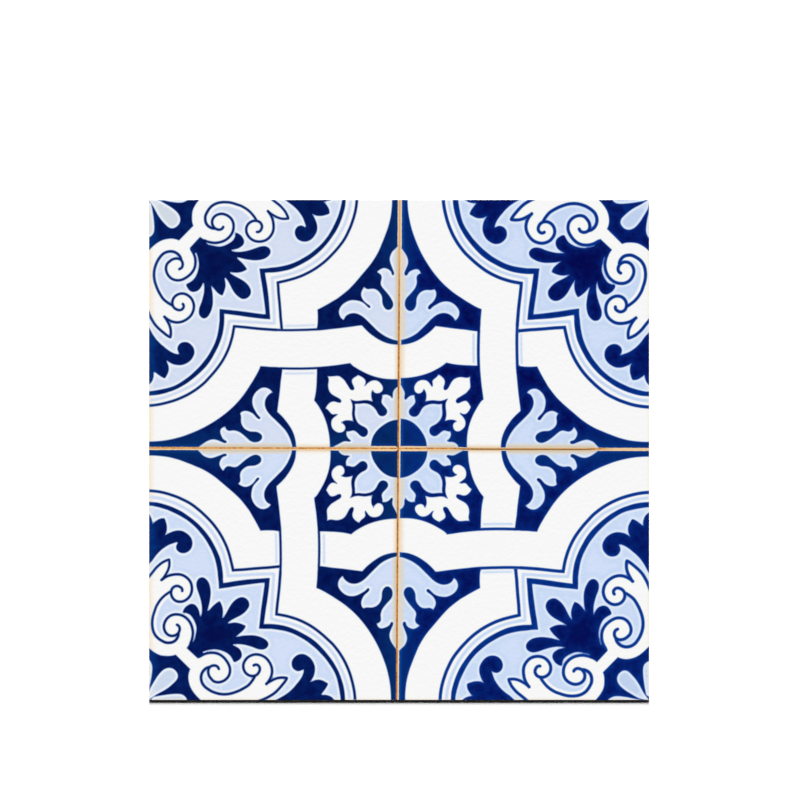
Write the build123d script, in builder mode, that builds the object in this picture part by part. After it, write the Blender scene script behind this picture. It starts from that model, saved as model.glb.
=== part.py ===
"""A self-adhesive vinyl wall tile, lying face up on its release liner.

The tile is one square of printed PVC film with a thin coat of pressure-sensitive adhesive on its back. The film and its
coat are one piece. The sheet that covers the coat until the tile is used is the only other piece: a siliconed paper
liner, cut through with the film, so the two share one outline.

The origin is the centre of the liner's underside. +Z points out of the printed face, and the sides lie along X and Y.
"""

import os

from build123d import *

# Driving dimensions, in millimetres
tile_side = 152.4  # a six inch tile, edge to edge
pvc_gauge = 0.18  # the printed film with its clear wear layer
adhesive_coat = 0.02  # the adhesive that stays on the film's back
liner_gauge = 0.12  # siliconed paper
corner_radius = 0.15  # what a steel rule die leaves at a square corner

# Where the two sheets meet
liner_top = liner_gauge
film_thickness = pvc_gauge + adhesive_coat

# The liner is pressed out by the same die as the film
with BuildPart() as release_liner:
    with BuildSketch(Plane.XY):
        RectangleRounded(tile_side, tile_side, corner_radius)
    extrude(amount=liner_gauge)

# The film lies on the liner, with its adhesive against the silicone
with BuildPart() as vinyl_film:
    with BuildSketch(Plane.XY.offset(liner_top)):
        RectangleRounded(tile_side, tile_side, corner_radius)
    extrude(amount=film_thickness)

release_liner.part.label = "release_liner"
vinyl_film.part.label = "vinyl_film"

os.makedirs("parts", exist_ok=True)
export_step(release_liner.part, "parts/release_liner.step")
export_step(vinyl_film.part, "parts/vinyl_film.step")
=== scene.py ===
import math
import bpy
import numpy as np
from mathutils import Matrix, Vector
from mathutils.geometry import delaunay_2d_cdt
from mathutils.kdtree import KDTree


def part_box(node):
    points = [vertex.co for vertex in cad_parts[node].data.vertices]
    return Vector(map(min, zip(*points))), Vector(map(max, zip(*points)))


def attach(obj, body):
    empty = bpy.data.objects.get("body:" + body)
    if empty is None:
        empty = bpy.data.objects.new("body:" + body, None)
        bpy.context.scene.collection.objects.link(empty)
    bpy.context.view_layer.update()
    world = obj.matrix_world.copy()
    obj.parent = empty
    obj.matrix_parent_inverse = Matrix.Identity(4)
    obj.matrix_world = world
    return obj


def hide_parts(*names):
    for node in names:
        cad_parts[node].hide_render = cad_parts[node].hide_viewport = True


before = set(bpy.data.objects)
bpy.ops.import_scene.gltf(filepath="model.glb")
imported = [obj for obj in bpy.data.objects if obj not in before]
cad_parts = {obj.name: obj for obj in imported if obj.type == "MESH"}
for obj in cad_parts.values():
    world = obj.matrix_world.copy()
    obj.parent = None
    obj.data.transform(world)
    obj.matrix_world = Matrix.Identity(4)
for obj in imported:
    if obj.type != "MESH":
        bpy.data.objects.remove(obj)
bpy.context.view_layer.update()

MM = 0.001
film_low, film_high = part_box("vinyl_film")
SIDE = (film_high[0] - film_low[0]) / MM
HALF = SIDE / 2
FACE_Z = film_high[2]
BACK_Z = film_low[2]
CORNER_RADIUS = 0.15


def placed(name, data):
    made = bpy.data.objects.new(name, data)
    bpy.context.collection.objects.link(made)
    return made


# Camera straight above, at the photograph's scale
PHOTO_SIDE = 800
MM_PER_PIXEL = 0.3048
TILE_CENTRE_PIXEL = (399.1, 449.8)
CAMERA_HEIGHT = 1100.0
SENSOR_WIDTH = 36.0
camera = placed("camera", bpy.data.cameras.new("camera"))
view_width = PHOTO_SIDE * MM_PER_PIXEL
camera.data.sensor_width = SENSOR_WIDTH
camera.data.lens = SENSOR_WIDTH * CAMERA_HEIGHT / view_width
camera.data.clip_start = 0.01
camera.data.clip_end = 50.0
aside, upward = PHOTO_SIDE / 2 - TILE_CENTRE_PIXEL[0], TILE_CENTRE_PIXEL[1] - PHOTO_SIDE / 2
camera.location = (aside * MM_PER_PIXEL * MM, upward * MM_PER_PIXEL * MM, FACE_Z + CAMERA_HEIGHT * MM)
bpy.context.scene.camera = camera
bpy.context.scene.view_settings.view_transform = "Standard"

# The print, shape by shape: a line with its name, ink, tone of the ink and width of the brush (0 for an area,
# and two widths for a stroke that changes), and then its points
DRAWING = """
field field 0 0
37.2,-0.5! 38.5,0.95 40,2.1 41.6,3.95 42.2,5.3 42.5,6.1! 41,6.15 39,5.6 37.6,4.85! 37.75,6.4 38.05,8.5
37.6,10.6 36.25,12.25 34,13.03 31.65,12.55 30.2,11.15 29.7,9.25 30.4,7.55 32,6.7 32.9,6.75! 31.75,5.15
30,3.43 28,2.2 26,1.4 24,0.97 22,1 20,1.6 18.3,3.1 17.3,5 17.35,7 18.4,8.45 19.8,8.95! 19.33,7.5 19.5,6.05
20.7,4.85 22.3,4.5 24,5.05 25.35,6.35 25.85,8.1 25.55,10 24.1,11.95 22,13.02 20,13.3 18,13! 17.8,16!
15.6,17.9! 14.2,17.6! 14.2,19.5 13.97,21 13.1,22.4 12,23.4 10,24.5 8,24.6 6.6,24 5.8,23 5.35,22 5.2,21
5.3,20 5.9,19 7,18.25 8.2,18.05 9.3,18.2 9.95,18.7! 9.6,17.5 8.7,16.5 7.2,15.88 5.5,16.05 4.4,16.6 3.2,17.85
2.5,19 2.06,20 1.6,22 1.62,24 2.1,26 2.92,28 4.15,30 5.75,31.5 7.1,32.2! 7.15,31.25 7.6,30 8.75,29 10,28.72
12,29.4 13.4,31.2 13.7,32.6 13.3,34.6 11.6,36.55 9,37.47 7,37.1 5.6,36.2! 6.1,38 6.6,39.6 6.62,41 6.5,42.1!
5.25,41.05 3.97,40 2.85,39 1.94,38 1.25,37 0.75,36 0.25,35 -0.4,33.6! -1,33.6! -1,59! 0,59.1! 4,58.55 8,57.4
11.3,55.4 14.3,53.1 17,50.3 19.2,47.1 20.8,44 21.9,40 22.2,37 22.3,34.2! 36.2,35.9! 35.6,29 34.6,21.9!
39,21.6 44,20.4 48,18.4 52,15.3 55,11.7 57.3,8 58.9,4 59.5,0! 59.5,-1! 37.2,-1!

corner_ground navy 0.05 0
-1,-1! 16.3,-1! 15.55,0 14.75,0.95 14.06,2 13.56,3 13.3,4 13.2,5 13.19,6 13.28,7 13.6,8.1! 9.19,12.56!
8.6,12.3 8,12.13 7,11.98 6,12.02 5,12.2 4,12.5 3,13 2,13.67 1,14.53 0,15.5 -1,16.5!

drop leaf 1 0
0.75,1.2! 1.25,1.95 1.9,3.1 2.5,4.25 3.25,5.45 4,6.45 5,7.55 5.6,8.15 6.25,8.6 7,8.8 7.75,8.7 8.5,8.25
9.2,7.5 9.56,6.5 9.5,5.5 9.15,4.65 8.5,3.8 7.5,2.92 6.5,2.2 5.5,1.6 4.5,1 3.75,0.55 3,0.2 2.4,0! -1,-1!

drop_left leaf 1 0
-1,0! 0.7,1.2! 0.85,2 1.05,3 1.22,4 1.37,5 1.5,6 1.6,7 1.67,8 1.66,9 1.5,10 1.12,10.7 0.6,11.2 0,11.55
-1,11.9!

drop_top leaf 1 0
0,-1! 2.4,0! 3.5,0.08 4,0.18 5,0.38 6,0.6 7,0.77 8,0.91 9,0.99 9.75,0.99 10.5,0.87 11.25,0.57 11.75,0.3
12.2,-0.1 12.6,-1!

scroll_back navy 0.25 0.6 0.72
32.92,6.7 32.45,5.92 31.8,5.02 31.05,4.15 30.05,3.26 29.05,2.61 28.05,2.08 27,1.72 26,1.38 25,1.12 24,0.97
23,0.93 22,1 21,1.2 20,1.6 19,2.3 18.3,3.1 17.7,4.1 17.3,5 17.2,6 17.35,7 17.75,7.8 18.4,8.42 19.1,8.78
19.8,8.95

volute navy 0.25 0.66
22.68,8.5 22.5,8.85 22.1,9.17 21.5,9.33 20.7,9.18 20.05,8.8 19.6,8.2 19.33,7.5 19.3,6.8 19.5,6.05 19.95,5.4
20.7,4.85 21.5,4.57 22.3,4.5 23.1,4.65 24,5.05 24.75,5.6 25.35,6.35 25.72,7.2 25.85,8.1 25.8,9 25.55,10
25,11 24.1,11.98 23,12.7 22,13.08 21,13.28 20,13.35 19,13.23 18,13 17,12.6

small_volute navy 0.25 0.66
32.98,10.08 33.4,10.08 33.8,9.9 34.25,9.35 34.5,8.6 34.35,7.8 33.8,7.1 33,6.74 32,6.7 31.1,7.02 30.4,7.55
29.9,8.3 29.7,9.25 29.8,10.25 30.2,11.15 30.8,11.9 31.65,12.55 32.75,12.95 34,13.03 35.25,12.78 36.25,12.25
37,11.5 37.6,10.6 37.95,9.6 38.05,8.5 37.95,7.3 37.7,6.2 37.3,5.2 36.8,4.4 36.3,3.75

leaf_under navy 0.25 0.6
36.3,3.72 36.9,4.3 37.6,4.82 38.25,5.2 39,5.6 40,5.98 41,6.15 41.8,6.14 42.5,6.08

leaf_back navy 0.25 0.62
36.4,-0.9 37.5,0.1 38.5,0.9 39.2,1.45 40,2.1 40.8,2.95 41.6,3.95 42.15,5 42.45,5.75 42.5,6.05

half_palmette_top navy 0.05 0
40,-1! 41.2,0 42.25,0.97 43,1.5 44,2.25 44.75,2.94 45.4,3.62 46,4.38 46.5,5.12 46.94,5.88 47.25,6.62
47.5,7.38 47.75,8.05 47.81,8.4 47.6,8.7! 47.3,8.5 46.88,8.31 46.38,8.19 45.88,8.25 45.38,8.5 44.94,8.94
44.62,9.5 44.48,10.25 44.56,11 44.81,11.62 45.25,12.25 45.88,12.75 46.62,13.06 47.5,13.17 48.38,13.06
49.12,12.75 49.88,12.19 50.5,11.44 51,10.62 51.31,9.75 51.38,8.75 51.25,7.75 50.94,6.81 50.56,5.94
50.12,5.12 49.94,4.81! 50.5,5.06 51.25,5.31 52.12,5.38 53.12,5.31 54,5.06 54.88,4.75 55.12,4.56! 55.12,4.12
55,3.38 54.69,2.69 54.25,2 53.75,1.38 53.44,1.12! 53.88,0.94 54.5,0.81 55.12,0.62 56,0.19 57,-1!

palmette navy 0 0
15.62,11.44! 16.3,11.93 17,12.33 18,12.7! 17.6,13.3! 18,13.72 19,14.02 20,14.25 21,14.42 22,14.42 23,14.15
24,13.72 25,13.1 25.5,12.7 25.95,12.1 26.2,11.5 26.3,11 26.32,10.55 26.6,10.32 27,10.38 27.6,10.7
28.25,11.25 28.7,11.9 29,12.5 29.05,13.25 28.8,13.95 28.25,14.5 27.5,14.98 26.75,15.25 26,15.4 25.28,15.58!
25.38,15.8! 26,16 27,16.1 28,16.1 29,15.97 30,15.78 31,15.5 32,15.18 33,14.82 34,14.52 34.9,14.4 35.75,14.5
36.5,14.88 36.94,15.38 37.12,16 37,16.75 36.56,17.38 35.9,17.94 35,18.38 34,18.62 33,18.75 32,18.75 31,18.65
30,18.5 29,18.3 28,18.03 27.05,17.8! 27,18.15! 27.5,18.62 28.1,19.15 28.75,19.8 29.25,20.4 29.7,21.05
29.9,21.5! 29.4,21.82 28.75,22.12 28,22.36 27,22.5 26,22.48 24.9,22.3! 24.9,22.65! 25.5,23.05 26.25,23.5
27,23.9 28,24.44 28.9,25 29.6,25.56 30.25,26.25 30.75,27 31.05,27.75 31.1,28.6 30.8,29.44 30.3,30 29.6,30.4
28.9,30.53 28.1,30.38 27.5,30 26.75,29.4 26.06,28.6 25.5,27.75 25,26.75 24.5,25.75 24,24.9 23.4,24.1!
23.15,24.15! 23.18,24.6 23.3,25.3 23.38,26 23.32,26.9 23.1,27.75 22.8,28.6 22.4,29.4! 22,29.3 21.5,29.06
20.75,28.44 20,27.56 19.5,26.95 19.1,26.5! 19.12,27.1 19.3,28 19.44,29 19.5,30 19.52,31 19.48,32 19.3,33
19,34 18.56,34.9 18,35.75 17.4,36.22 16.7,36.38 16,36.1 15.5,35.56 15.2,34.8 15.2,34 15.3,33.25 15.6,32.4
16,31.4 16.3,30.4 16.56,29.4 16.75,28.4 16.82,27.4 16.82,26.5 16.72,25.65! 16.5,25.65! 16.2,26.3 15.8,27
15.2,27.7 14.4,28.13 13.5,28.28 12.6,28 11.95,27.35 11.5,26.6 11.35,26.1 11.56,25.75! 12.25,25.4 13,24.94
13.7,24.3 14.25,23.5 14.7,22.5 15,21.5 15.18,20.5 15.2,19.5 15.08,18.6 14.9,17.7 14.4,16.35! 14.1,16.6!
14.4,18 14.3,19.5! 13.9,19.5! 13.9,18.5 13.75,17.5 13.44,16.5 13,15.6 12.5,14.8!

scroll_back_low navy 0.3 0.66 0.72
7.15,32.28 6.4,31.92 5.75,31.5 5.08,31 4.15,30.08 3.47,29 2.92,28 2.47,27 2.1,26 1.8,25 1.62,24 1.55,23
1.6,22 1.78,21 2.08,20 2.5,19 3.1,18 3.7,17.2 4.4,16.55 5.3,16.08 6.2,15.87 7.2,15.9 8.1,16.2 8.9,16.75
9.5,17.5 9.8,18.3

volute_low navy 0.25 0.66
9.28,21.27 9.55,21.14 9.9,20.92 10.18,20.5 10.32,19.9 10.22,19.2 9.9,18.6 9.3,18.18 8.5,18.03 7.7,18.12
6.9,18.45 6.2,19 5.6,19.6 5.3,20.3 5.2,21 5.35,22 5.8,23 6.5,23.82 7.2,24.32 8,24.6 9,24.69 10,24.53
11,24.08 12,23.42 12.95,22.55 13.6,21.63 14,20.7 14.18,19.7 14.2,18.8 14.1,17.9 13.8,16.9 13.3,15.9
12.9,15.2

small_volute_low navy 0.25 0.66
10.33,31.9 10.55,32.3 10.55,32.9 10.2,33.42 9.75,33.7 9.2,33.78 8.4,33.55 7.65,33.02 7.22,32.25 7.13,31.3
7.35,30.45 7.95,29.58 8.8,29 9.9,28.72 11,28.85 12,29.38 12.85,30.15 13.42,31.2 13.7,32.4 13.62,33.5
13.25,34.65 12.6,35.65 11.6,36.52 10.4,37.18 9.1,37.5 8,37.48 7,37.23 6,36.76 5.2,36.22 4.68,35.78

leaf_front_low navy 0.25 0.66
4.75,35.75 5.2,36.4 5.65,37.2 6.1,38.05 6.45,39 6.63,40 6.65,41 6.52,42

leaf_back_low navy 0.25 0.66
-1.05,31.9 -0.35,33.9 0.08,35 0.6,36.1 1.13,37.05 1.8,38.08 2.7,39.1 3.82,40.12 4.98,41.08 5.8,41.68
6.5,42.02

half_palmette_left navy 0.05 0
-1,37.2! 0,38.94 0.5,39.88 1,40.8 1.5,41.6 2,42.3 2.5,42.94 3.1,43.56 3.75,44.2 4.5,44.8 5.25,45.44 6,46
6.75,46.48 7.5,46.85 8.1,47.06 8.7,47.16 9.1,47.1! 8.94,46.6 8.7,46 8.65,45.25 8.9,44.6 9.44,43.94 10.1,43.6
10.9,43.48 11.75,43.6 12.5,44 13.1,44.6 13.56,45.25 13.8,46 13.85,46.75 13.7,47.5 13.3,48.3 12.75,49.06
12,49.7 11.1,50.2 10.25,50.5 9.25,50.6 8.25,50.5 7.25,50.25 6.5,49.88 5.88,49.5 5.45,49.2! 5.6,49.88
5.88,50.5 6.02,51.25 6.02,52 5.85,52.75 5.5,53.5 5,54.4! 4.7,54.56! 4.1,54.3 3.4,53.88 2.6,53.3 2.06,52.88
1.6,52.6! 1.38,52.9! 1.44,53.5 1.38,54.1 1.2,54.75 0.94,55.4 0.56,55.9 -1,57!

ring_thick navy 0.2 0
58.95,-1! 58.92,0 58.87,1 58.65,2 58.43,3 58.14,4 57.85,5 57.47,6 57.02,7 56.55,8 56.05,9 55.5,10 54.9,11
54.2,12 53.4,13 52.5,14 51.42,15 50.22,16 48.95,16.97 48,17.57 47,18.15 46,18.72 45,19.2 44,19.62 43,19.98
42,20.26 41,20.5 40,20.69 39,20.85 38,20.94 37,21.03 36,21.17 35,21.25 33.7,21.28! 33.9,22.75 34.1,24.25
34.37,25.75 34.6,27.25 34.8,28.75 35,30.25 35.2,31.75 35.38,33.25 35.56,35.13! 35,35.19 34,35.06 33,34.94
31,34.65 29,34.37 27,34.1 25,33.88 23,33.68 21.56,33.5! 21.5,35 21.5,36 21.5,37 21.4,38 21.28,39 21.12,40
20.94,41 20.7,42 20.38,43 20,44 19.52,45 19,46 18.44,47 17.8,48 17.05,49 16.25,50 15.4,51 14.4,52 13.35,53
12.2,54 10.8,55 9.3,56 8,56.7 7,57.1 6,57.4 5,57.64 4,57.85 3,58.04 2,58.2 1,58.35 0,58.45 -1,58.5! -1,59.8!
0,59.76 1,59.72 2,59.64 3,59.5 4,59.3 5,59.05 6,58.72 7,58.4 8,58 9,57.55 10,57 11.5,56.1 12.95,55.05
14.2,54.05 15.35,53.05 16.35,52.1 17.3,51.1 18.15,50.05 18.85,49.05 19.48,48 20.02,47 20.56,46 21.06,45
21.48,44 21.87,43 22.2,42 22.46,41 22.65,40 22.8,39 22.9,38 22.96,37 22.96,36 22.94,34.97! 24,35.1 26,35.37
28,35.65 30,35.98 32,36.25 34,36.5 35.5,36.65 36.94,36.75! 36.9,35.5 36.8,34.5 36.7,33 36.6,31.5 36.48,30
36.3,28.5 36.1,27 35.88,25.5 35.6,24 35.42,22.6! 36,22.52 37,22.5 38,22.48 39,22.38 40,22.25 41,22.06
42,21.86 43,21.58 44,21.2 45,20.76 46,20.28 47,19.76 48,19.2 49,18.6 50,17.88 51,17.12 52,16.25 53,15.3
54,14.2 55.05,12.92 56.1,11.46 57.08,9.98 57.6,9 58.08,8 58.5,7 58.89,6 59.2,5 59.5,4 59.75,3 59.92,2 60,1
60.05,0 60.05,-1!

ring_thin navy 0.25 0.68
63.5,-1 63.47,0 63.4,1 63.3,2 63.16,3 62.97,4 62.72,5 62.44,6 62.1,7 61.76,8 61.36,9 60.9,10 60.43,11
59.9,12 59.28,13 58.55,14 57.75,15 56.9,16 56,16.95 55,17.98 54,18.92 53,19.77 52,20.52 51,21.22 50,21.83
49,22.4 48,22.9 47,23.37 46,23.78 45,24.13 44,24.45 43,24.72 42,24.96 41,25.2 40,25.42 39.32,25.58! 39.42,27
39.5,28.5 39.63,30 39.78,31.5 39.9,33 40.02,34.5 40.1,36 40.25,37.5 40.48,39.9

ring_thin_low navy 0.25 0.68
-1,62.85 0,62.82 1,62.76 2,62.65 3,62.5 4,62.3 5,62.07 6,61.8 7,61.53 8,61.2 9,60.83 10,60.4 11,59.95
12,59.43 13,58.85 14,58.22 15,57.5 16,56.72 17,55.85 18,54.78 18.72,54 19.63,53 20.45,52 21.22,51 21.93,50
22.56,49 23.12,48 23.62,47 24.07,46 24.47,45 24.8,44 25.1,43 25.37,42 25.58,41 25.75,40 25.95,38.84! 27,38.9
28,39 29,39.1 30,39.21 31,39.33 32,39.44 33,39.55 34,39.65 35,39.73 36,39.8 37,39.88 38,39.95 39,40

strap_top navy 0.25 0.57
38,39.93 39,40 40,40.05 41,40.08 42,40.1 44,40.1 46,40.07 48,40.03 50,39.96 51.7,39.9

strap_bottom navy 0.25 0.56
40,51.73 42,51.79 44,51.83 46,51.85 48,51.83 50,51.78 51.6,51.7

ground_right navy 0 0
74.2,-1! 74.22,0 74.22,1 74.18,2 74.1,3 74,4 73.88,5 73.71,6 73.48,7 73.22,8 72.93,9 72.58,10 72.2,11
71.82,12 71.43,13 71,14 70.6,15 70.16,16 69.64,17 69.06,18 68.42,19 67.72,20 66.93,21 66.08,22 65.23,23
64.4,23.98 63.55,24.98 62.68,25.98 61.75,26.97 60.75,27.95 59.95,28.62 59.2,29.22 58.2,29.98 57.2,30.7
56,31.38 55,31.98 54,32.54 53,33.08 52,33.6 51.38,33.92! 51.46,35 51.5,36 51.48,37 51.44,38 51.3,39
51.2,39.7! 51.2,40.24! 52,40.22 53,40.13 54,40.02 55,39.91 56.2,39.79 58.2,39.59 60.2,39.35 62.2,39.09
64,38.84 64.9,38.78! 65.45,39.4 66.2,40.2 66.95,40.92 67.7,41.56 68.45,42.1 69.2,42.62 69.95,43.08
70.7,43.48 71.45,43.83 72.2,44.12 72.95,44.35 73.7,44.52 74.45,44.62 75.2,44.68 76,44.72 78,44.8! 78,-1!

leaf_right leaf 0 0
78,13! 76.2,14.35 75.7,14.93 75.1,15.55 74.3,16.3 73.85,17.05 73.52,18 73.44,18.8 73.58,19.6 73.88,20.5
74.26,21.5 74.62,22.38 74.76,23 74.65,23.42 74.4,23.58 74.1,23.38 73.93,22.8 73.64,22.28 73,21.77 72.3,21.47
71.7,21.37 71,21.53 70.3,21.92 69.72,22.35! 69.68,22.65! 70.2,22.94 70.7,23.38 70.97,24 70.9,24.75
70.72,25.5 70.7,26.25 71,27 71.7,27.88 72.45,28.75 73.2,29.7 73.8,30.6 74.26,31.5 74.47,32.4 74.3,33.22
73.8,33.86 73.08,34.13 72.3,33.94 71.7,33.3 71.3,32.5 71.12,31.5 71.08,30.5 70.9,29.75 70.45,29 69.8,28.27
69.1,27.83 68.2,27.65 67.3,27.72 66.6,27.75 66.1,27.52 65.68,27.18! 65.5,27.25! 65.15,27.85 64.8,28.6
64.7,29.4 64.88,30.25 65.35,31.1 66.1,31.88 66.95,32.5 67.45,32.94 67.52,33.28 67.2,33.5 66.8,33.3 66.2,32.7
65.45,32.02 64.7,31.57 63.7,31.26 62.7,31.12 61.6,31.12 60.7,31.38 59.8,31.82 59,32.44 58.33,33.3
57.96,34.25 57.97,35.1 58.28,36 58.78,36.68 59.26,37.02! 59.5,36.75 59.85,36.1 60.45,35.56 61.2,35.2
61.95,35.05 62.8,35.06 63.6,35.25 64.4,35.62 65.2,36.13 65.95,36.75 66.6,37.4 67.2,38 67.95,38.75 68.7,39.5
69.45,40.25 70.2,40.9 70.95,41.44 71.7,41.94 72.45,42.35 73.2,42.7 73.95,43 74.7,43.27 75.45,43.44
76.2,43.55 78,43.7!

ground_bottom navy 0 0
-1,73.83! 0,73.82 1,73.8 2,73.76 3,73.69 4,73.6 5,73.46 6,73.3 7,73.1 8,72.88 9,72.62 10,72.34 11,72.01
12,71.64 13,71.26 14,70.85 15,70.42 16,69.95 17,69.45 18,68.9 19,68.32 20,67.7 21,67.05 22,66.35 23,65.6
24,64.8 25,63.93 26,62.98 27,61.93 28,60.77 29,59.5 30,58.05 31,56.5 31.6,55.6 32.1,54.72 32.6,53.88
33.06,53.05 33.44,52.3 33.75,51.6 33.94,51.05! 35,51.1 36,51.2 37,51.28 38,51.31 39,51.35 40,51.42 41,51.48
41,52.06! 40.6,52.06! 40.5,53 40.37,54 40.22,55 40.07,56 40,57 39.9,58 39.8,59 39.67,60 39.54,61 39.4,62
39.28,63 39.15,64 39.04,64.98! 39.5,65.4 40,65.85 40.5,66.35 41,66.92 41.5,67.56 42,68.2 42.5,68.9 43,69.65
43.5,70.52 43.94,71.5 44.3,72.58 44.56,73.7 44.7,74.7 44.75,75.5 44.8,78! -1,78!

leaf_bottom leaf 0 0
13,78! 14.4,76.2 15.15,75.5 15.85,74.98 16.55,74.48 17.25,74.02 18,73.64 18.75,73.38 19.6,73.28 20.5,73.42
21.25,73.7 22,74.03 22.75,74.34 23.15,74.42 23.58,74.2 23.6,73.88 23.2,73.58 22.6,73.18 22.15,72.5
21.83,71.7 21.67,70.85 21.85,70.18 22.33,69.72 22.85,69.48 23.15,69.42! 23.3,69.85 23.65,70.38 24.25,70.67
25,70.64 25.75,70.58 26.6,70.73 27.5,71.08 28.4,71.7 29.25,72.42 30,73.12 30.65,73.7 31.4,74.08 32.25,74.22
33.1,74.12 33.9,73.7 34.38,73 34.4,72.33 34,71.7 33.25,71.22 32.5,71 31.75,70.98 30.75,70.88 29.9,70.58
29.15,70.08 28.52,69.33 28.13,68.45 28,67.45 28.05,66.7 27.95,65.95 27.78,65.4! 28.05,65.05! 28.5,64.8
29.25,64.66 30,64.72 30.9,65.06 31.65,65.5 32.25,66.12 32.75,66.7 33.25,67.08 33.7,67.12 33.93,66.8
33.75,66.5 33.3,66.08 32.75,65.32 32.25,64.45 31.8,63.55 31.52,62.55 31.46,61.58 31.62,60.58 32,59.72
32.56,58.95 33.3,58.27 34.1,57.77 35,57.57 35.9,57.7 36.6,58.02 37.2,58.5 37.6,59.02! 37.1,59.25 36.5,59.68
35.9,60.38 35.46,61.2 35.27,62.2 35.32,63.2 35.62,64.1 36.1,64.95 36.6,65.6 37.15,66.22 37.75,66.8 38.5,67.5
39.25,68.25 40,69 40.6,69.62 41.25,70.32 41.75,71 42.25,71.8 42.7,72.7 43.06,73.58 43.3,74.33 43.48,74.95
43.6,75.6 44,78!

ground_star navy -0.02 0
51,52.06! 51,51.46! 52,51.36 53,51.28 54,51.2 55,51.1 56.2,50.98 57.2,50.87 58.2,50.73 59.2,50.58 60.2,50.43
61.4,50.3! 62,51 63,51.68 64,52.28 65,52.84 66,53.35 67,53.8 68,54.18 69,54.5 70,54.77 71,54.98 72,55.13
73,55.22 74,55.27 76,55.28 78,55.3! 78,78! 55.2,78! 55.12,75.6 55.1,74.95 55.06,74 54.97,73 54.84,72
54.67,71 54.45,70 54.2,69 53.9,68 53.54,67 53.12,66 52.62,65 52.06,64 51.45,63 50.85,62.2 50.33,61.55!
50.46,61 50.68,60 50.84,59 50.95,58 51.04,57 51.1,56 51.12,55 51.17,54 51.19,53 51.19,52.06!

fleur white 0 0
54.42,54.18! 55,54.28 56,54.25 57.2,54.15 58.08,54.28 58.75,54.76 59.36,55.28 59.83,55.86 60.18,56.45
60.6,57.1 61,57.8 61.5,58.38 62,58.53 62.45,58.33 62.52,57.85 62.25,57.15 61.98,56.55 61.82,56 61.82,55.55
62.03,55.1 62.53,54.68 63.1,54.33 63.73,53.95! 64.2,54.15 64.95,54.56 65.58,55.06 65.93,55.55 66.02,56
65.98,56.45 65.8,56.9 65.62,57.28! 66.08,57 66.55,56.5 67.13,56.07 67.73,55.73 68.37,55.58 69.08,55.58
69.72,55.78 70.22,56.12 70.67,56.6 71.06,57.15 71.27,57.83 71.2,58.55 70.76,59.12 70.08,59.46 69.33,59.53
68.8,59.35 68.4,58.95 68.16,58.42! 67.92,58.85 67.76,59.45 67.72,60.1 67.8,60.83 67.95,61.45 68.12,61.98!
67.45,61.83 66.8,61.66 65.95,61.6 64.95,61.68 63.95,61.8 63.08,61.83 62.33,61.7 61.75,61.42 61.33,61.18!
61.6,61.83 61.83,62.45 61.99,63.2 62,63.95 61.93,64.7 61.85,65.45 61.89,66.2 62,66.95 62.12,67.6
62.25,68.05! 61.58,67.85 60.83,67.72 60,67.74 59.2,67.95 58.45,68.4! 59,68.65 59.42,69.05 59.72,69.5 59.8,70
59.64,70.58 59.22,71.1 58.58,71.38 57.83,71.43 57.08,71.2 56.45,70.78 56.05,70.4 55.72,69.83 55.5,68.95
55.52,68.2 55.72,67.5 56.1,67 56.55,66.62 56.95,66.33 57.55,65.9! 56.95,65.77 56.4,65.87 55.95,65.88
55.5,65.65 55.1,65.2 54.6,64.6 54.2,64.25 53.8,64.05! 54,63.58 54.4,63 54.9,62.45 55.5,62.08 56.1,61.93
56.7,61.98 57.2,62.13 57.83,62.3 58.28,62.28 58.57,62 58.5,61.62 58.08,61.12 57.45,60.75 56.83,60.43
56.1,60.02 55.5,59.55 55,58.88 54.7,58.08 54.57,57.33 54.6,56.58 54.72,55.9 54.76,55.25 54.6,54.65!

star_wash leaf 0 0
62.7,62.76! 63.2,62.72 64.2,62.7 65.2,62.6 66.2,62.64 66.95,62.83 67.7,63.2 68.33,63.7 68.92,64.33
69.33,64.95 69.62,65.55 69.95,66.06 70.45,66.42 71.08,66.53 71.76,66.37 72.33,65.87 72.58,65.2 72.43,64.5
71.95,63.83 71.39,63.2 70.97,62.58 70.85,61.95 70.98,61.33 71.12,60.7 71.06,60.1! 71.58,60 72.3,59.95
72.95,60.14 73.58,60.52 74.05,61.15! 74.28,60.7 74.3,59.95 74.4,59.2 74.7,58.56 75.2,58 75.83,57.62
76.3,57.4 78,57! 78,78! 55,78! 56.2,75.75 56.83,75.4 57.45,75.08 58.2,74.68 58.95,74.28 59.7,74.1
60.45,74.15 61.14,74.22 61.48,74! 61.33,73.76 60.89,73.37 60.45,72.83 60.18,72.2 60.12,71.58 60.2,71.1!
60.83,71.12 61.58,70.95 62.2,70.86 62.83,71.06 63.45,71.55 64.08,72.18 64.7,72.66 65.33,72.82 66,72.62
66.5,72.08 66.7,71.33 66.52,70.58 66.08,70.08 65.45,69.68 64.7,69.3 64,68.83 63.45,68.2 63.08,67.45
62.85,66.7 62.73,65.95 62.73,65.08 62.82,64.33 62.83,63.58!

disc navy 0.16 0
76.05,67.62! 74.95,67.68 74.08,67.87 73.08,68.22 72.08,68.75 71.08,69.42 70.2,70.12 69.45,70.87 68.83,71.64
68.28,72.58 67.9,73.55 67.7,74.45 67.6,75.45 67.62,78! 78,78! 78,67.62!

ring_wash soft 0 1.0
61.65,-1 61.55,0 61.48,1 61.37,2 61.2,3 60.97,4 60.68,5 60.37,6 60.03,7 59.65,8 59.15,9 58.62,10 58.1,11
57.5,12 56.85,13 56.1,14 55.25,15.1 54.4,16.1 53.4,17.1 52.2,18.15 51,19.1 50,19.8 49,20.42 48,20.98 47,21.5
46,21.97 44,22.72 42,23.25 40,23.7 38.6,23.95 37.6,24.05! 37.7,26 37.8,28 37.95,30 38.05,32 38.12,34
38.17,36 38.2,38! 37,37.9 35,37.78 33,37.65 31,37.55 29,37.45 27,37.35 25.5,37.3 24.5,37.28! 24.3,38.2
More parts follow.
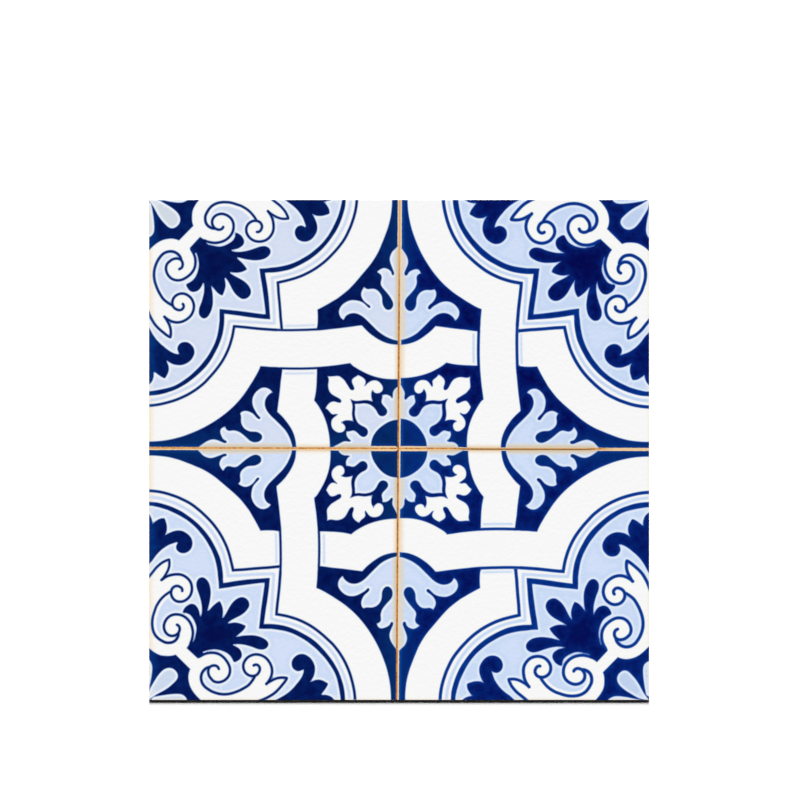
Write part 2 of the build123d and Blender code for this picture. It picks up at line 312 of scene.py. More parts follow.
24.05,39.2 23.75,40.5 23.4,42 22.85,44 22.1,46 21.15,48 19.9,50 18.4,52 16.8,53.75 15,55.4 13.5,56.55
12,57.35 10,58.22 8,59.1 6,59.85 4,60.5 2,60.98 0,61.2 -1,61.25

shade_top soft 0 0.85
41.6,38.85 44,38.85 46.5,38.8 48.5,38.75 50.3,38.65

shade_bottom soft 0 0.9
41.6,53.3 44,53.3 46,53.28 48,53.27 50.2,53.2
"""


def shape_of(block):
    head, outline = block.split("\n", 1)
    name, ink, tone, *widths = head.split()
    widths = tuple(map(float, widths))
    return name, ink, float(tone), widths if len(widths) > 1 else widths[0], outline


SHAPES = [shape_of(block) for block in DRAWING.strip().split("\n\n")]


# Curves through the chosen points; a point marked with ! is a sharp corner
def read(text):
    points, kinks = [], []
    for word in text.split():
        if word.endswith("!"):
            kinks.append(len(points))
            word = word[:-1]
        points.append(tuple(float(n) for n in word.split(",")))
    return points, kinks


def smooth_curve(pts, tolerance=0.008):
    """A cubic through the points, with even curvature at its two ends."""
    n = len(pts)
    if n < 3:
        return list(pts)
    p = np.array(pts)
    h = np.maximum(np.hypot(*(p[1:] - p[:-1]).T), 1e-6)
    system = np.zeros((n, n))
    right = np.zeros((n, 2))
    system[0, :2] = (1, -1)
    system[-1, -2:] = (-1, 1)
    for i in range(1, n - 1):
        system[i, i - 1 : i + 2] = (h[i - 1], 2 * (h[i - 1] + h[i]), h[i])
        right[i] = 6 * ((p[i + 1] - p[i]) / h[i] - (p[i] - p[i - 1]) / h[i - 1])
    bend = np.linalg.solve(system, right)
    out = [tuple(p[0])]
    for i in range(n - 1):
        amount = np.hypot(*(bend[i] + bend[i + 1])) / 2
        steps = max(1, math.ceil(h[i] * math.sqrt(amount / (8 * tolerance))))
        for s in range(1, steps + 1):
            t = s / steps
            w = 1 - t
            q = w * p[i] + t * p[i + 1]
            q = q + h[i] ** 2 / 6 * ((w**3 - w) * bend[i] + (t**3 - t) * bend[i + 1])
            out.append(tuple(q))
    return out


def path_of(text, closed):
    pts, kinks = read(text)
    if closed:
        k = kinks[0]
        pts = pts[k:] + pts[:k] + [pts[k]]
        kinks = [j - k for j in kinks]
    ends = sorted({0, len(pts) - 1, *(k for k in kinks if 0 < k < len(pts) - 1)})
    out = []
    for a, b in zip(ends, ends[1:]):
        out += smooth_curve(pts[a : b + 1])[:-1]
    return np.array(out if closed else out + [pts[-1]])


def brush(text, width):
    """The outline of a brush stroke of that width, with round ends and mitred corners."""
    path = path_of(text, False)
    first, last = width if isinstance(width, tuple) else (width, width)
    step = path[1:] - path[:-1]
    length = np.hypot(*step.T)
    run = np.concatenate(([0], np.cumsum(length)))
    half = (first + (last - first) * run / run[-1]) / 2
    normal = np.stack((step[:, 1], -step[:, 0]), 1) / length[:, None]
    before = np.vstack((normal[:1], normal))
    after = np.vstack((normal, normal[-1:]))
    across = before + after
    across /= np.hypot(*across.T)[:, None]
    across *= (half / np.maximum((across * before).sum(1), 0.45))[:, None]
    left, right = path + across, path - across
    cap = np.radians(np.arange(30, 180, 30))[:, None]

    def round_end(centre, side):
        turned = np.array((-side[1], side[0]))
        return centre + side * np.cos(cap) + turned * np.sin(cap)

    return np.vstack((left, round_end(path[-1], across[-1]), right[::-1], round_end(path[0], -across[0])))


def grown(outline, amount):
    """The outline moved outward by that much, counter-clockwise in the (u, v) plane."""
    x, y = outline.T
    if (x * np.roll(y, -1) - np.roll(x, -1) * y).sum() < 0:
        outline = outline[::-1]
    outline = outline[np.hypot(*(outline - np.roll(outline, 1, 0)).T) > 1e-6]
    step = np.roll(outline, -1, 0) - outline
    normal = np.stack((step[:, 1], -step[:, 0]), 1) / np.hypot(*step.T)[:, None]
    across = normal + np.roll(normal, 1, 0)
    across /= np.maximum(np.hypot(*across.T), 0.2)[:, None]
    return outline + across * (amount / np.maximum((across * normal).sum(1), 0.45))[:, None]


def divided(outline, longest=1.2):
    """The same outline with its long sides cut into shorter ones."""
    step = np.roll(outline, -1, 0) - outline
    parts = np.maximum(np.ceil(np.hypot(*step.T) / longest).astype(int), 1)
    share = np.concatenate([np.arange(n) / n for n in parts])
    return np.repeat(outline, parts, 0) + np.repeat(step, parts, 0) * share[:, None]


def winding(outline, pts):
    """How many times the outline goes round each point."""
    turns = np.zeros(len(pts), dtype=int)
    low, high = outline.min(0), outline.max(0)
    near = np.where(((pts >= low) & (pts <= high)).all(1))[0]
    near = near[np.argsort(pts[near, 1])]
    x, y = pts[near].T
    count = np.zeros(len(near), dtype=int)
    ends = np.roll(outline, -1, 0)
    first = np.searchsorted(y, np.minimum(outline[:, 1], ends[:, 1]))
    last = np.searchsorted(y, np.maximum(outline[:, 1], ends[:, 1]))
    for (x0, y0), (x1, y1), i, j in zip(outline, ends, first, last):
        side = (x1 - x0) * (y[i:j] - y0) - (x[i:j] - x0) * (y1 - y0)
        count[i:j] += (side > 0).astype(int) if y1 > y0 else -(side < 0).astype(int)
    turns[near] = count
    return turns


def spread(outline, gap, closed=True):
    """Points about that far apart along an outline, with the direction to its right."""
    ring = np.vstack((outline, outline[:1])) if closed else outline
    step = ring[1:] - ring[:-1]
    length = np.hypot(*step.T)
    keep = length > 1e-9
    start, step, length = ring[:-1][keep], step[keep], length[keep]
    run = np.concatenate(([0], np.cumsum(length)))
    at = np.linspace(0, run[-1], max(4, int(run[-1] / gap)), endpoint=not closed)
    i = np.clip(np.searchsorted(run, at, side="right") - 1, 0, len(length) - 1)
    direction = step[i] / length[i][:, None]
    points = start[i] + direction * (at - run[i])[:, None]
    return points, np.stack((direction[:, 1], -direction[:, 0]), 1)


class Distance:
    """Distance to the nearest of some marks, each a point on a line with its direction."""

    def __init__(self, points, along):
        self.points, self.along = points, along
        self.tree = KDTree(len(points))
        for i, (x, y) in enumerate(points):
            self.tree.insert((x, y, 0), i)
        self.tree.balance()

    def __call__(self, pts):
        found = [self.tree.find((x, y, 0)) for x, y in pts]
        nearest = np.array([f[1] for f in found], dtype=int)
        away = np.array([f[2] for f in found])
        lengthwise = ((pts - self.points[nearest]) * self.along[nearest]).sum(1)
        lengthwise = np.clip(lengthwise, -MARK_GAP / 2, MARK_GAP / 2)
        return np.sqrt(np.maximum(away**2 - lengthwise**2, 0))


def marks_along(lines, closed=True):
    """Closely spaced points on some lines, and the direction of the line at each."""
    pairs = [spread(line, MARK_GAP, closed) for line in lines]
    points = np.vstack([p[0] for p in pairs])
    right = np.vstack([p[1] for p in pairs])
    return points, np.stack((-right[:, 1], right[:, 0]), 1)


def ease(low, high, x):
    t = np.clip((x - low) / (high - low), 0, 1)
    return t * t * (3 - 2 * t)


# The four wall tiles of the print: shift on the sheet in mm, stretch and skew in mm for each metre, and how
# far ink spreads past each outline
class WallTile:
    def __init__(self, shift, skew, bleed):
        self.shift, self.skew, self.bleed = np.array(shift), np.array(skew) / 1000, bleed


WALL_TILES = (
    WallTile((-0.04, -0.34), ((-0.2, 1.8), (-6.5, -0.4)), -0.05),
    WallTile((-0.5, 0.18), ((-0.6, -5.0), (5.4, -1.5)), 0.12),
    WallTile((0.23, 0.24), ((-1.2, -1.2), (-2.5, 2.0)), 0.1),
    WallTile((0.16, 0.01), ((1.5, -1.5), (1.3, -0.5)), -0.02),
)
MIDDLE = SIDE / 4
JOINT_Y, JOINT_Y_SLOPE = 75.873, 0.0021
JOINT_X, JOINT_X_SLOPE = 76.019, -0.006376


def joint_x(y):
    return JOINT_X + JOINT_X_SLOPE * (y - HALF)


def joint_y(x):
    return JOINT_Y + JOINT_Y_SLOPE * (x - HALF)


def to_sheet(k, pts):
    tile = WALL_TILES[k]
    u, v = (pts + tile.shift + (pts - MIDDLE) @ tile.skew.T).T
    return np.stack([(u, v), (SIDE - v, u), (SIDE - u, SIDE - v), (v, SIDE - u)][k], 1)


def to_tile(k, pts):
    x, y = pts.T
    u, v = [(x, y), (y, SIDE - x), (SIDE - x, SIDE - y), (SIDE - y, x)][k]
    tile = WALL_TILES[k]
    moved = np.stack((u, v), 1) - tile.shift - MIDDLE
    return MIDDLE + moved @ np.linalg.inv(np.eye(2) + tile.skew).T


def quarter_of(pts):
    right = pts[:, 0] > joint_x(pts[:, 1])
    low = pts[:, 1] > joint_y(pts[:, 0])
    return np.where(low, np.where(right, 2, 3), np.where(right, 1, 0))


# One flat partition of the printed face, cut along every outline
points, edges = [], []


def add_line(line, closed=True, tile=None):
    """Edges along a line; with a wall tile named, only those in its quarter of the sheet."""
    n = len(line)
    pairs = [(i, (i + 1) % n) for i in range(n if closed else n - 1)]
    if tile is not None:
        here = quarter_of(line) == tile
        pairs = [(i, j) for i, j in pairs if here[i] or here[j]]
    used = sorted({i for pair in pairs for i in pair})
    base = sum(len(p) for p in points)
    place = {i: base + at for at, i in enumerate(used)}
    points.append(line[used])
    edges.extend((place[i], place[j]) for i, j in pairs)


corner = []
for cx, cy, start in ((SIDE, 0, -90), (SIDE, SIDE, 0), (0, SIDE, 90), (0, 0, 180)):
    mx = cx - math.copysign(CORNER_RADIUS, cx - HALF)
    my = cy - math.copysign(CORNER_RADIUS, cy - HALF)
    for a in np.radians(start + np.array((0, 30, 60, 90))):
        corner.append((mx + CORNER_RADIUS * math.cos(a), my + CORNER_RADIUS * math.sin(a)))
sheet_outline = np.array(corner)
add_line(sheet_outline)
run = np.linspace(-3.0, SIDE + 3, 140)
add_line(np.stack((run, joint_y(run)), 1), False)
add_line(np.stack((joint_x(run), run), 1), False)

MARK_GAP = 0.1  # between the marks that distances are measured to
RIM_SPACING = 0.5  # between the extra points beside an outline
NAVY_RING, WASH_RING, BLUE_RING = 0.2, 0.45, 0.8  # how far beside it they lie
BACK_RINGS = (0.65, 0.9, 1.15)
GRID_SPACING = 1.6
KEEP_OFF = 0.12  # no extra point lies closer to navy's edge
LINE_EXTRA = 0.05  # a brush stroke's own spread of ink
LIGHT_ON_DARK = ("fleur", "star_wash", "leaf_right", "leaf_bottom", "drop", "drop_left", "drop_top")
LITTLE_BLEED = ("fleur", "ground_right", "ground_bottom", "ground_star")
WHITE, FIELD, NAVY, LEAF = range(4)
INK = {"field": FIELD, "navy": NAVY, "leaf": LEAF, "white": WHITE}
plain = [path_of(s[4], True) if s[3] == 0 else brush(s[4], s[3]) for s in SHAPES]
soft_paths = {s[0]: path_of(s[4], False) for s in SHAPES if s[1] == "soft"}


def round_corners(outline, d):
    """Points on arcs at that distance round an outline's sharp corners."""
    step = np.roll(outline, -1, 0) - outline
    step /= np.hypot(*step.T)[:, None]
    straight = (step * np.roll(step, 1, 0)).sum(1)
    tips = outline[straight < 0.82]
    way = np.arange(0, 2 * math.pi, min(0.9, RIM_SPACING * 0.7 / d))
    return (tips[:, None] + d * np.stack((np.cos(way), np.sin(way)), 1)).reshape(-1, 2)


class Print:
    """One wall tile in its own u and v: the outlines with their bleed, and distances to them."""

    def __init__(self, k):
        self.tile = WALL_TILES[k]
        self.outlines = {}
        for (name, ink, tone, width, text), outline in zip(SHAPES, plain):
            amount = self.tile.bleed
            if ink in ("soft", "field"):
                amount = 0
            elif width:
                amount = amount * 0.35 + LINE_EXTRA
            elif name in LITTLE_BLEED:
                amount *= 0.3
            elif name in LIGHT_ON_DARK or name == "ring_thick":
                amount *= 0.7
            self.outlines[name] = divided(grown(outline, -amount if name in LIGHT_ON_DARK else amount))
        inked = [self.outlines[s[0]] for s in SHAPES if s[1] not in ("soft", "field")]
        points, along = marks_along(inked)
        right = np.stack((along[:, 1], -along[:, 0]), 1)
        one_side = self.inks(points + 0.02 * right)[0] == NAVY
        other_side = self.inks(points - 0.02 * right)[0] == NAVY
        seen = one_side != other_side
        self.border = Distance(points[seen], along[seen])
        self.back = Distance(*marks_along([self.outlines["scroll_back"]]))

    def inks(self, pts):
        """The ink at each point and its tone, in the order the brush laid them."""
        kinds, tones = np.full(len(pts), WHITE), np.zeros(len(pts))
        for name, ink, tone, width, text in SHAPES:
            if ink != "soft":
                hit = winding(self.outlines[name], pts) > 0
                kinds[hit], tones[hit] = INK[ink], tone
        return kinds, tones

    def extra_points(self):
        """Points beside the outlines, which carry the soft changes of tone."""
        found = []
        for (name, ink, tone, width, text), outline in zip(SHAPES, self.outlines.values()):
            if ink == "soft":
                for share in (0.5, 0.9, 1.3):
                    found.append(spread(brush(text, width * share), RIM_SPACING)[0])
            elif ink != "field":
                points, right = spread(outline, RIM_SPACING)
                for d in (NAVY_RING, WASH_RING, BLUE_RING):
                    ring = np.vstack((points + right * d, points - right * d, round_corners(outline, d)))
                    ring = ring[np.abs(self.border(ring) - d) < 0.02]
                    kinds = self.inks(ring)[0]
                    if d == WASH_RING:
                        ring = ring[kinds != NAVY]
                    elif d == BLUE_RING:
                        ring = ring[(kinds == FIELD) | (kinds == LEAF)]
                    found.append(ring)
        points, right = spread(self.outlines["scroll_back"], RIM_SPACING)
        found.extend(points + right * d * side for side in (1, -1) for d in BACK_RINGS)
        steps = np.arange(0.5, HALF, GRID_SPACING)
        found.append(np.stack(np.meshgrid(steps, steps), -1).reshape(-1, 2))
        found = np.vstack(found)
        return found[self.border(found) > KEEP_OFF]


prints = [Print(k) for k in range(4)]
for k in range(4):
    for outline in prints[k].outlines.values():
        add_line(to_sheet(k, outline), tile=k)
    loose = to_sheet(k, prints[k].extra_points())
    loose = loose[(loose > 0.3).all(1) & (loose < SIDE - 0.3).all(1) & (quarter_of(loose) == k)]
    points.append(loose)
for t in np.linspace(0, 1, 90)[1:-1] * SIDE:
    points.append(np.array(((t, 0), (t, SIDE), (0, t), (SIDE, t))))
flat = np.vstack(points)
made = delaunay_2d_cdt([Vector((x - HALF, HALF - y)) for x, y in flat], edges, [], 0, 1e-5)
flat = np.array([(p.x + HALF, HALF - p.y) for p in made[0]])
tris = np.array(made[2])
middle = flat[tris].mean(1)
inside = winding(sheet_outline, middle) != 0
tris, middle = tris[inside], middle[inside]
first, second = (flat[tris[:, i]] - flat[tris[:, 0]] for i in (1, 2))
turned = first[:, 0] * second[:, 1] - first[:, 1] * second[:, 0]
tris[turned > 0] = tris[turned > 0][:, ::-1]
quarter = quarter_of(middle)

# What each corner of a triangle carries: the tone of its ink, how much wash, whether it is navy, and the
# distance to the nearest edge of navy, which counts as negative inside it
marks = np.zeros((len(tris) * 3, 4))
from_edge = np.zeros(len(tris) * 3)
wash_line = Distance(*marks_along([soft_paths.pop("ring_wash")], False))
strip_line = Distance(*marks_along(soft_paths.values(), False))


def marks_of(k, kinds, tones, at):
    spots, back = np.unique(np.round(at, 4), axis=0, return_inverse=True)
    back = back.reshape(-1)

    def far(gauge, wanted):
        needed = np.zeros(len(spots), dtype=bool)
        needed[back[wanted]] = True
        out = np.full(len(spots), 9.0)
        out[needed] = gauge(spots[needed])
        return out[back]

    away = far(prints[k].border, kinds >= 0)
    away[kinds == NAVY] *= -1
    wash = np.zeros(len(at))
    wash[kinds == LEAF] = 1
    lies = kinds == FIELD
    wash[lies] = ease(0.65, 1.15, far(prints[k].back, lies))[lies]
    lies = kinds == WHITE
    soft = 1 - ease(0.25, 0.75, far(wash_line, lies))
    strip = 0.9 * (1 - ease(0.2, 0.6, far(strip_line, lies)))
    wash[lies] = np.maximum(soft, strip)[lies]
    return np.stack((tones, wash, np.zeros(len(at)), kinds == NAVY), 1), away


for k in range(4):
    mine = np.where(quarter == k)[0]
    kinds, tones = prints[k].inks(to_tile(k, middle[mine]))
    corners = to_tile(k, flat[tris[mine]].reshape(-1, 2))
    slots = (mine[:, None] * 3 + np.arange(3)).ravel()
    marks[slots], from_edge[slots] = marks_of(k, np.repeat(kinds, 3), np.repeat(tones, 3), corners)

# The sheet as one closed mesh: printed face, cut edge, adhesive back
used, tris_used = np.unique(tris, return_inverse=True)
tris = tris_used.reshape(-1, 3)
flat = flat[used]
count = len(flat)
directed = np.vstack((tris[:, (0, 1)], tris[:, (1, 2)], tris[:, (2, 0)]))
seen = set(map(tuple, directed))
rim_edges = [e for e in map(tuple, directed) if e[::-1] not in seen]
rim_points = sorted({e[0] for e in rim_edges})
below = {p: count + i for i, p in enumerate(rim_points)}
follow = dict(rim_edges)
loop = [rim_edges[0][0]]
while follow[loop[-1]] != loop[0]:
    loop.append(follow[loop[-1]])
x, y = (flat[:, 0] - HALF) * MM, (HALF - flat[:, 1]) * MM
top = np.stack((x, y, np.full(count, FACE_Z)), 1)
bottom = top[rim_points].copy()
bottom[:, 2] = BACK_Z
walls = [(a, below[a], below[b], b) for a, b in zip(loop, loop[1:] + loop[:1])]
faces = [tuple(map(int, face)) for face in (*tris, *walls)]
faces.append(tuple(int(below[p]) for p in loop[::-1]))
mesh = bpy.data.meshes.new("printed_film")
mesh.from_pydata([tuple(p) for p in np.vstack((top, bottom))], [], faces)
film = placed("printed_film", mesh)
face_count = len(tris)
material_index = np.ones(len(faces), dtype=np.int32)
material_index[:face_count] = 0
mesh.polygons.foreach_set("material_index", material_index)

loops = len(mesh.loops)
layer = mesh.color_attributes.new("ink", "FLOAT_COLOR", "CORNER")
rgba = np.zeros((loops, 4), dtype=np.float32)
rgba[: face_count * 3] = marks
layer.data.foreach_set("color", rgba.ravel())
edge_layer = mesh.attributes.new("edge", "FLOAT", "CORNER")
edge_values = np.zeros(loops, dtype=np.float32)
edge_values[: face_count * 3] = from_edge
edge_layer.data.foreach_set("value", edge_values)

uv = mesh.uv_layers.new(name="OFBake")
corner_of = np.zeros(loops, dtype=np.int32)
mesh.loops.foreach_get("vertex_index", corner_of)
xy = np.vstack((top, bottom))[corner_of]
share = (xy[:, :2] / MM + HALF) / SIDE
STRIP = 0.012  # along the left and low sides of the UV square, for the cut edge and the back
spot = (STRIP + share * (1 - STRIP)).astype(np.float32)
EDGE_LOW, EDGE_HIGH = 0.006, 0.009
at = face_count * 3
for i in range(len(walls)):
    a, b = i / len(walls), (i + 1) / len(walls)
    spot[at : at + 4] = ((a, EDGE_HIGH), (a, EDGE_LOW), (b, EDGE_LOW), (b, EDGE_HIGH))
    at += 4
BACK_CORNER, BACK_SIZE = (0.001, 0.02), (0.008, 0.97)
spot[at:] = BACK_CORNER + share[at:] * BACK_SIZE
uv.data.foreach_set("uv", spot.ravel())
mesh.validate()
mesh.update()


# Materials
class Amount:
    """A number that nodes work out; + - * on it add the nodes for the result."""

    def __init__(self, net, socket):
        self.net, self.socket = net, socket

    def __add__(self, other):
        return self.net.calc("ADD", self, other)

    def __sub__(self, other):
        return self.net.calc("SUBTRACT", self, other)

    def __rsub__(self, other):
        return self.net.calc("SUBTRACT", other, self)

    def __mul__(self, other):
        return self.net.calc("MULTIPLY", self, other)


class Nodes:
    """Short names for the nodes of one material. Colours are given as on the screen, 0 to 255. A `coded`
    material mixes them like that too, and the others mix light."""

    def __init__(self, name, coded=False):
        self.coded = coded
        self.material = bpy.data.materials.new(name)
        self.material.use_nodes = True
        self.tree = self.material.node_tree
        self.tree.nodes.clear()

    def add(self, kind, inputs=None, **settings):
        made = self.tree.nodes.new(kind)
        for key, value in settings.items():
            setattr(made, key, value)
        for key, value in (inputs or {}).items():
            self.set(made.inputs[key], value)
        return made

    def set(self, socket, value):
        if isinstance(value, Amount):
            value = value.socket
        if isinstance(value, bpy.types.NodeSocket):
            self.tree.links.new(value, socket)
        else:
            socket.default_value = value

    def calc(self, operation, *values):
        made = self.add("ShaderNodeMath", dict(enumerate(values)), operation=operation)
        return Amount(self, made.outputs[0])

    def ramp(self, low, high, value, start=0.0, end=1.0, how="SMOOTHSTEP"):
        """From start to end while the value goes from low to high."""
        values = dict(enumerate((value, low, high, start, end)))
        made = self.add("ShaderNodeMapRange", values, interpolation_type=how)
        return Amount(self, made.outputs[0])

    def fade(self, low, high, value, start=1.0):
        return self.ramp(low, high, value, start, 0.0)

    def mix(self, share, first, second):
        made = self.add("ShaderNodeMix", {0: share}, data_type="RGBA")
        for key, colour in ((6, first), (7, second)):
            if isinstance(colour, tuple):
                colour = np.array(colour) / 255
                if not self.coded:
                    colour = np.where(colour <= 0.04045, colour / 12.92, ((colour + 0.055) / 1.055) ** 2.4)
                colour = (*colour, 1.0)
            self.set(made.inputs[key], colour)
        return made.outputs[2]

    def noise(self, vector, scale, detail, roughness, stretch=(1, 1, 1), shift=(0, 0, 0)):
        place = self.add("ShaderNodeMapping", {"Vector": vector, "Scale": stretch, "Location": shift})
        values = {"Vector": place.outputs[0], "Scale": scale, "Detail": detail, "Roughness": roughness}
        return Amount(self, self.add("ShaderNodeTexNoise", values).outputs["Fac"])

    def bump(self, height, strength, depth, body):
        """Unevenness of that depth on a surface."""
        made = self.add("ShaderNodeBump", {"Strength": strength, "Distance": depth, "Height": height})
        self.set(body.inputs["Normal"], made.outputs[0])

    def finish(self, body):
        self.set(self.add("ShaderNodeOutputMaterial").inputs["Surface"], body.outputs[0])
        return self.material


PEEL_DEPTH = 0.014 * MM  # the faint unevenness of the printed face
FULL_WHITE = 1.13  # light that a surface of albedo 1 sends back, against white on the screen
paint = Nodes("printed_vinyl", coded=True)
add, calc, ramp, fade, mix = paint.add, paint.calc, paint.ramp, paint.fade, paint.mix
place = add("ShaderNodeTexCoord").outputs["Object"]
place_mm = add("ShaderNodeVectorMath", {0: place, "Scale": 1 / MM}, operation="SCALE").outputs[0]
split = add("ShaderNodeSeparateXYZ", {0: place_mm})
px, py = (Amount(paint, split.outputs[i]) for i in (0, 1))
ink_node = add("ShaderNodeVertexColor", layer_name="ink")
ink_split = add("ShaderNodeSeparateColor", {0: ink_node.outputs["Color"]})
shape_tone, wash = (Amount(paint, ink_split.outputs[i]) for i in (0, 1))
is_navy = Amount(paint, ink_node.outputs["Alpha"])
edge = Amount(paint, add("ShaderNodeAttribute", attribute_name="edge").outputs["Fac"])
depth = edge * -1.0


def noise(scale, detail, roughness, x=0, y=0):
    return paint.noise(place_mm, scale, detail, roughness, shift=(x, y, 0))


# Distances from the two joints between the printed wall tiles
upright = px - (py * -JOINT_X_SLOPE + (JOINT_X - HALF))
level = px * -JOINT_Y_SLOPE + (HALF - JOINT_Y) - py
off_upright, off_level = calc("ABSOLUTE", upright), calc("ABSOLUTE", level)
is_upright = calc("LESS_THAN", off_upright, off_level)
is_level = 1.0 - is_upright
off = calc("MINIMUM", off_upright, off_level)
right, low = calc("GREATER_THAN", upright, 0.0), calc("GREATER_THAN", level, 0.0)


def by_joint(for_upright, for_level):
    """A number beside the upright joint, and another beside the level one."""
    return is_upright * for_upright + is_level * for_level


def by_tile(top_left, top_right, bottom_right, bottom_left):
    return mix(low, mix(right, top_left, top_right), mix(right, bottom_left, bottom_right))


# Navy is darkest where it lies thick and lighter near the joints; the two right tiles have brighter ink
deep = by_tile((2, 16, 75), (2, 9, 78), (2, 15, 86), (2, 15, 76))
bright = by_tile((5, 50, 118), (5, 50, 135), (5, 54, 140), (5, 50, 122))
from_left = px + HALF
cloud = noise(0.45, 4.0, 0.62, 1, 4)
tone = shape_tone * (right * 0.8 + 1.0) + fade(1.0, 4.2, depth, 0.28)
tone = tone + right * fade(0.3, 1.2, depth, 0.26) + fade(3.0, 10.0, off, 0.22)
tone = tone + (1.0 - right) * fade(0.5, 4.0, from_left, 0.6) + ramp(0.3, 0.7, cloud, 0.26, -0.26, "LINEAR")
navy = mix(tone, deep, bright)
navy = mix(fade(0.3, 7.0, off, 0.85), navy, mix(right, (4, 46, 105), (4, 46, 114)))

# Wash is white beside navy, palest blue a little further out, and slightly lighter in open areas
near_wash = by_tile((211, 222, 244), (200, 217, 245), (201, 219, 246), (206, 221, 247))
far_wash = by_tile((217, 225, 244), (210, 223, 248), (211, 224, 250), (213, 225, 249))
drop_wash = by_tile((210, 219, 229), (193, 210, 240), (192, 210, 238), (206, 218, 238))
mottle = ramp(0.3, 0.7, noise(1.6, 3.0, 0.6, 9, 1), 0.5, -0.5, "LINEAR")
washed = mix(ramp(1.1, 2.8, edge) + mottle, near_wash, far_wash)
washed = mix(shape_tone, washed, drop_wash)
halo = mix(right, (237, 243, 248), (224, 235, 249))
washed = mix(ramp(right * 0.1 + 0.4, 1.05, edge), halo, washed)
glaze = mix(ramp(0.7, 1.1, edge), (249, 249, 246), (249, 249, 249))
light = mix(wash, glaze, washed)

# Stains beside the joints, on the light inks
past = calc("GREATER_THAN", by_joint(upright, level), 0.0)
right_side = past * is_upright
stain_end = wash * 0.05 + 1.85 + right_side * 0.6 + (noise(0.22, 3.0, 0.55) * 0.6 - 0.3)
stain = fade(wash * 1.1 + 0.35, stain_end, off)
stain_tone = mix(ramp(0.7, 1.5, off), (213, 205, 190), (221, 219, 215))
stain_tone = mix(wash, (240, 221, 195), mix(right_side, stain_tone, (221, 217, 209)))
in_halo = wash * fade(0.3, 0.9, edge, 0.5)
light = mix(stain * (1.0 - in_halo), light, stain_tone)
light = mix(fade(0.3, 0.75, off, 0.8), light, mix(right_side, (216, 184, 148), (244, 222, 192)))

# Brown stains along the cut edges of the sheet
left_stain = fade(0.0, noise(0.09, 3.0, 0.6, 2, 8) * 3.2 + 0.4, from_left, 0.75)
light = mix(left_stain * (wash * -0.65 + 1.0), light, (247, 228, 202))
from_rest = calc("MINIMUM", px * -1.0 + HALF, py + HALF)
light = mix(fade(0.0, 0.9, from_rest, 0.55), light, (246, 234, 214))

# On navy the joint is edged with mortar, broad in places, and with a bright blue line of thin glaze
ragged = noise(1.3, 2.0, 0.6, 3, 9) * 0.24 - 0.12
near_middle = fade(9.0, 24.0, calc("ABSOLUTE", px))
before_reach = by_joint(ramp(12.0, 62.0, py, 0.28, 0.7), near_middle * 0.38 + 0.4)
after_reach = by_joint(0.58, near_middle * 0.2 + 0.52)
beyond = off - (past * after_reach + (1.0 - past) * before_reach + ragged)
glow = ramp(0.0, 0.35, beyond) * fade(0.3, 1.2, beyond) * by_joint(past * 0.75 + 0.15, 0.4)
navy = mix(glow, navy, (10, 68, 156))
mortar = mix(past, mix(ramp(12.0, 62.0, py), (140, 102, 66), (218, 200, 182)), (206, 212, 212))
navy = mix(fade(-0.04, 0.08, beyond), navy, mix(is_level, mortar, (236, 208, 168)))

# Where navy meets a light ink the two run together
fringe_ink = mix(right, (112, 138, 194), (82, 115, 186))
on_navy = ramp(-0.14, 0.0, edge) * ramp(0.0, 0.15, beyond)
on_light = ramp(0.0, 0.24, edge, 1.0, 0.0, "LINEAR")
printed = mix(is_navy, mix(on_light, light, fringe_ink), mix(on_navy, navy, fringe_ink))

# The open joint itself: an ochre line, with a lighter line beside it
side = by_joint(upright, level) + ragged * 0.35
fleck = noise(1.1, 4.0, 0.7, 5, 2)
brown_part = is_level * ramp(14.0, 24.0, px) * fade(56.0, 62.0, px)
light_from = brown_part * -0.5 + 0.03
light_line = ramp(light_from, light_from + 0.1, side) * fade(light_from + 0.3, light_from + 0.5, side)
printed = mix(light_line * 0.9, printed, mix(fleck, (255, 222, 180), (232, 190, 136)))
core_from = brown_part * 0.17 - 0.4
core = ramp(core_from, core_from + 0.14, side) * fade(core_from + 0.46, core_from + 0.6, side)
bare_mortar = ramp(62.0, 66.0, px, 0.0, 0.85) * is_level
core_fleck = ramp(0.36, 0.62, fleck)
core_ink = mix(is_level, mix(core_fleck, (154, 86, 22), (206, 138, 62)),
               mix(core_fleck, (184, 116, 44), (228, 170, 102)))
core_ink = mix(is_upright * ramp(40.0, 62.0, py), core_ink, (230, 172, 108))
core_ink = mix(brown_part * 0.8, core_ink, (140, 98, 48))
printed = mix(core * (1.0 - bare_mortar), printed, core_ink)

# From screen values to the share of light that the face sends back
factors = {0: printed, 1: (1 / 1.055,) * 3, 2: (0.055 / 1.055,) * 3}
raised = add("ShaderNodeVectorMath", factors, operation="MULTIPLY_ADD").outputs[0]
lit = add("ShaderNodeGamma", {"Color": raised, "Gamma": 2.4}).outputs[0]
albedo = add("ShaderNodeVectorMath", {0: lit, "Scale": 1 / FULL_WHITE}, operation="SCALE").outputs[0]
gloss = {"Roughness": ramp(0.3, 0.7, cloud, 0.27, 0.38), "Specular IOR Level": 0.35}
surface = add("ShaderNodeBsdfPrincipled", {"Base Color": albedo, **gloss})
paint.bump(noise(0.8, 4.0, 0.6, 7, 7), 1.0, PEEL_DEPTH, surface)
mesh.materials.append(paint.finish(surface))

GRAIN_DEPTH = 0.02 * MM


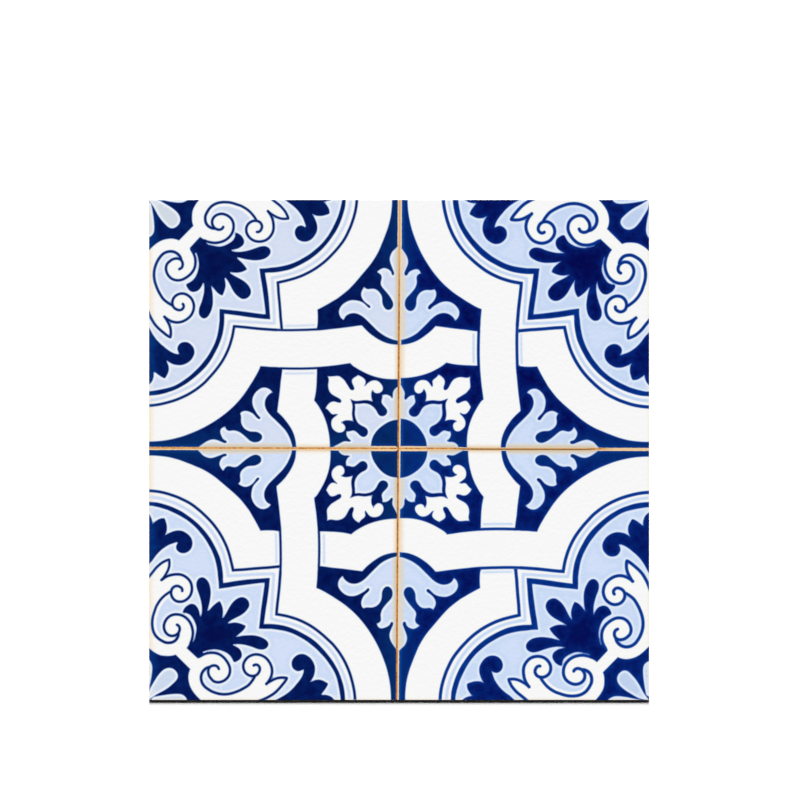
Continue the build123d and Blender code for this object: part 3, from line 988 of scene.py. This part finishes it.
def plain_material(name, light_tone, dark_tone, scale, roughness, stretch=(1, 1, 1)):
    net = Nodes(name)
    fleck = net.noise(net.add("ShaderNodeTexCoord").outputs["Object"], scale, 5.0, 0.6, stretch)
    colour = net.mix(net.ramp(0.3, 0.7, fleck), light_tone, dark_tone)
    rough = net.ramp(0.3, 0.7, fleck, roughness - 0.06, roughness + 0.06)
    body = net.add("ShaderNodeBsdfPrincipled", {"Base Color": colour, "Roughness": rough})
    net.bump(fleck, 0.15, GRAIN_DEPTH, body)
    return net.finish(body)


mesh.materials.append(plain_material("vinyl_edge", (206, 208, 214), (194, 197, 206), 900.0, 0.5))
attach(film, "root")
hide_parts("vinyl_film")

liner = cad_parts["release_liner"]
liner.data.materials.clear()
paper = plain_material("liner_paper", (236, 233, 224), (226, 222, 210), 1400.0, 0.7, (1, 0.35, 1))
liner.data.materials.append(paper)

# Floor, light and surroundings; angles are in degrees, the floor's reach in metres
FLOOR_REACH = 3.0
LAMP_HEIGHT_ANGLE = 14.2
LAMP_SPREAD = 14.5
FILL_LIGHT = 0.012
floor_mesh = bpy.data.meshes.new("floor")
floor_corners = [(x * FLOOR_REACH, y * FLOOR_REACH, 0) for x, y in ((-1, -1), (1, -1), (1, 1), (-1, 1))]
floor_mesh.from_pydata(floor_corners, [], [(0, 1, 2, 3)])
floor = placed("floor", floor_mesh)
floor_net = Nodes("floor")
floor_body = floor_net.add("ShaderNodeBsdfDiffuse", {"Color": (0.95, 0.95, 0.95, 1)})
floor_mesh.materials.append(floor_net.finish(floor_body))

lamp = placed("softbox", bpy.data.lights.new("softbox", "SUN"))
lamp.data.angle = math.radians(LAMP_SPREAD)
lamp.data.energy = FULL_WHITE * math.pi / math.sin(math.radians(LAMP_HEIGHT_ANGLE))
lamp.rotation_euler = (math.radians(LAMP_HEIGHT_ANGLE - 90), 0, 0)
lamp.visible_glossy = False

world = bpy.data.worlds.new("surroundings")
bpy.context.scene.world = world
world.use_nodes = True
sky = world.node_tree
sky.nodes.clear()


def background(strength):
    made = sky.nodes.new("ShaderNodeBackground")
    made.inputs["Color"].default_value = (1, 1, 1, 1)
    made.inputs["Strength"].default_value = strength
    return made.outputs[0]


# A white backdrop that is seen past the floor, and the faint light that fills the shadows
backdrop = sky.nodes.new("ShaderNodeMixShader")
sky.links.new(sky.nodes.new("ShaderNodeLightPath").outputs["Is Camera Ray"], backdrop.inputs[0])
sky.links.new(background(FILL_LIGHT), backdrop.inputs[1])
sky.links.new(background(1.0), backdrop.inputs[2])
sky.links.new(backdrop.outputs[0], sky.nodes.new("ShaderNodeOutputWorld").inputs["Surface"])
